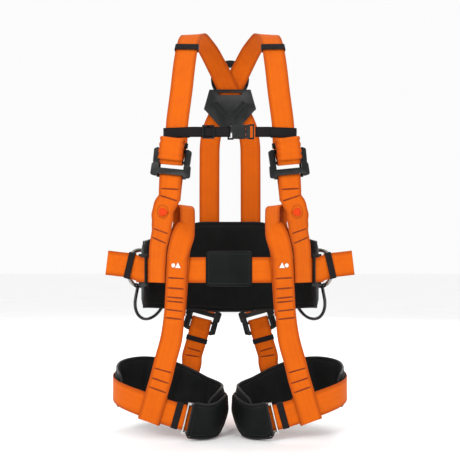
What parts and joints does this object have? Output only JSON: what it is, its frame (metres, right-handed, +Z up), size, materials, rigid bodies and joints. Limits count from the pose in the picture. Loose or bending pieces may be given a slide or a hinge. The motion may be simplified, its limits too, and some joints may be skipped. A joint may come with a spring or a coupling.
{
  "type": "safety harness",
  "caption": "Full-body fall-arrest harness with orange webbing, dorsal D-ring, padded positioning belt with side D-rings, chest strap and padded leg loops",
  "frame": {"origin": "centre of the round opening of the dorsal D-ring, with the ring standing up", "axes": "+X to the wearer's left, +Y out of the wearer's back along the D-ring's opening, +Z up towards the head"},
  "size_m": [0.508, 0.266, 0.8242],
  "materials": {
    "orange_webbing": "woven polyester webbing, fine herringbone, red-brown stitching",
    "black_webbing": "black woven or elastic webbing",
    "pad_fabric": "dark coated fabric over foam, piped edge",
    "black_metal": "black coated forged or pressed metal, satin",
    "forged_steel": "forged steel, satin grey",
    "bright_steel": "plated steel, satin",
    "black_plastic": "moulded black plastic, fine texture",
    "gear_tube": "smooth black tube, glossy",
    "label_fabric": "woven black label with a plain green shape",
    "indicator": "sewn red-orange patch",
    "white_print": "white print"
  },
  "bodies": {
    "harness": {"shoulder_strap_left": "orange_webbing", "shoulder_strap_right": "orange_webbing", "front_strap_left": "orange_webbing", "front_strap_right": "orange_webbing", "front_riser_left": "orange_webbing", "front_riser_right": "orange_webbing", "rear_riser_left": "orange_webbing", "rear_riser_right": "orange_webbing", "waist_belt_rear": "orange_webbing", "waist_belt_front": "orange_webbing", "belt_sleeve": "black_webbing", "lumbar_pad": "pad_fabric", "leg_band_left": "orange_webbing", "leg_band_right": "orange_webbing", "leg_pad_left": "pad_fabric", "leg_pad_right": "pad_fabric", "leg_flap_left": "pad_fabric", "leg_flap_right": "pad_fabric", "dorsal_plate": "black_plastic", "shoulder_buckle_frame_left": "black_metal", "shoulder_buckle_frame_right": "black_metal", "leg_buckle_frame_left": "black_metal", "leg_buckle_frame_right": "black_metal", "waist_adjuster_left": "bright_steel", "waist_adjuster_right": "bright_steel", "thigh_buckle_left": "bright_steel", "thigh_buckle_right": "bright_steel", "chest_strap_left": "black_webbing", "chest_strap_right": "black_webbing", "chest_loop_left": "black_webbing", "chest_socket": "black_plastic", "shoulder_keeper_left": "black_webbing", "shoulder_keeper_right": "black_webbing", "belt_keeper_left": "black_webbing", "belt_keeper_right": "black_webbing", "thigh_keeper_left": "black_webbing", "thigh_keeper_right": "black_webbing", "gear_tabs_left": "black_webbing", "gear_tabs_right": "black_webbing", "label": "label_fabric", "load_indicator_left": "indicator", "load_indicator_right": "indicator", "loop_marks": "white_print"},
    "dorsal_ring": {"dorsal_d_ring": "black_metal"},
    "side_ring_left": {"side_d_ring_left": "forged_steel"},
    "gear_left": {"gear_loop_left": "gear_tube"},
    "shoulder_bar_left": {"shoulder_buckle_bar_left": "black_metal"},
    "leg_bar_left": {"leg_buckle_bar_left": "black_metal"},
    "strap_band_left": {"strap_keeper_left": "black_webbing"},
    "riser_band_left": {"riser_keeper_left": "black_webbing"},
    "side_ring_right": {"side_d_ring_right": "forged_steel"},
    "gear_right": {"gear_loop_right": "gear_tube"},
    "shoulder_bar_right": {"shoulder_buckle_bar_right": "black_metal"},
    "leg_bar_right": {"leg_buckle_bar_right": "black_metal"},
    "strap_band_right": {"strap_keeper_right": "black_webbing"},
    "riser_band_right": {"riser_keeper_right": "black_webbing"},
    "chest_clip": {"chest_plug": "black_plastic"},
    "chest_adjuster": {"chest_slide": "black_plastic"}
  },
  "joints": [
    {"name": "dorsal_ring_swing", "type": "hinge", "parent": "harness", "child": "dorsal_ring", "pos_m": [0, 0, -0.034], "axis": [1, 0, 0], "range_deg": [-160, 0]},
    {"name": "side_ring_swing_left", "type": "hinge", "parent": "harness", "child": "side_ring_left", "pos_m": [0.16805, -0.06704, -0.426], "axis": [0, 0, 1], "range_deg": [0, 125]},
    {"name": "gear_loop_swing_left", "type": "hinge", "parent": "harness", "child": "gear_left", "pos_m": [0.1653, -0.07726, -0.462], "axis": [-0.5842, 0.8116, 0], "range_deg": [-25, 0]},
    {"name": "shoulder_buckle_tilt_left", "type": "hinge", "parent": "harness", "child": "shoulder_bar_left", "pos_m": [0.11306, -0.23803, -0.22102], "axis": [0.9709, 0.2064, 0.1219], "range_deg": [-8, 0]},
    {"name": "leg_buckle_tilt_left", "type": "hinge", "parent": "harness", "child": "leg_bar_left", "pos_m": [0.06417, 0.0002, -0.54388], "axis": [-0.956, 0.1005, -0.2756], "range_deg": [0, 8]},
    {"name": "strap_keeper_slide_left", "type": "slide", "parent": "harness", "child": "strap_band_left", "axis": [-0.1192, -0.0253, 0.9925], "range_m": [-0.003, 0.003]},
    {"name": "riser_keeper_slide_left", "type": "slide", "parent": "harness", "child": "riser_band_left", "axis": [-0.2741, 0.0288, 0.9613], "range_m": [-0.005, 0.006]},
    {"name": "side_ring_swing_right", "type": "hinge", "parent": "harness", "child": "side_ring_right", "pos_m": [-0.16805, -0.06704, -0.426], "axis": [0, 0, 1], "range_deg": [-125, 0]},
    {"name": "gear_loop_swing_right", "type": "hinge", "parent": "harness", "child": "gear_right", "pos_m": [-0.1653, -0.07726, -0.462], "axis": [-0.5842, -0.8116, 0], "range_deg": [-25, 0]},
    {"name": "shoulder_buckle_tilt_right", "type": "hinge", "parent": "harness", "child": "shoulder_bar_right", "pos_m": [-0.11306, -0.23803, -0.22102], "axis": [0.9709, -0.2064, -0.1219], "range_deg": [-8, 0]},
    {"name": "leg_buckle_tilt_right", "type": "hinge", "parent": "harness", "child": "leg_bar_right", "pos_m": [-0.06417, 0.0002, -0.54388], "axis": [-0.956, -0.1005, 0.2756], "range_deg": [0, 8]},
    {"name": "strap_keeper_slide_right", "type": "slide", "parent": "harness", "child": "strap_band_right", "axis": [0.1192, -0.0253, 0.9925], "range_m": [-0.003, 0.003]},
    {"name": "riser_keeper_slide_right", "type": "slide", "parent": "harness", "child": "riser_band_right", "axis": [0.2741, 0.0288, 0.9613], "range_m": [-0.005, 0.006]},
    {"name": "chest_release", "type": "slide", "parent": "harness", "child": "chest_clip", "axis": [1, 0, 0], "range_m": [0, 0.022], "deforming": ["chest_strap_left"]},
    {"name": "chest_adjust", "type": "slide", "parent": "harness", "child": "chest_adjuster", "axis": [1, 0, 0], "range_m": [-0.02, 0.02]}
  ]
}
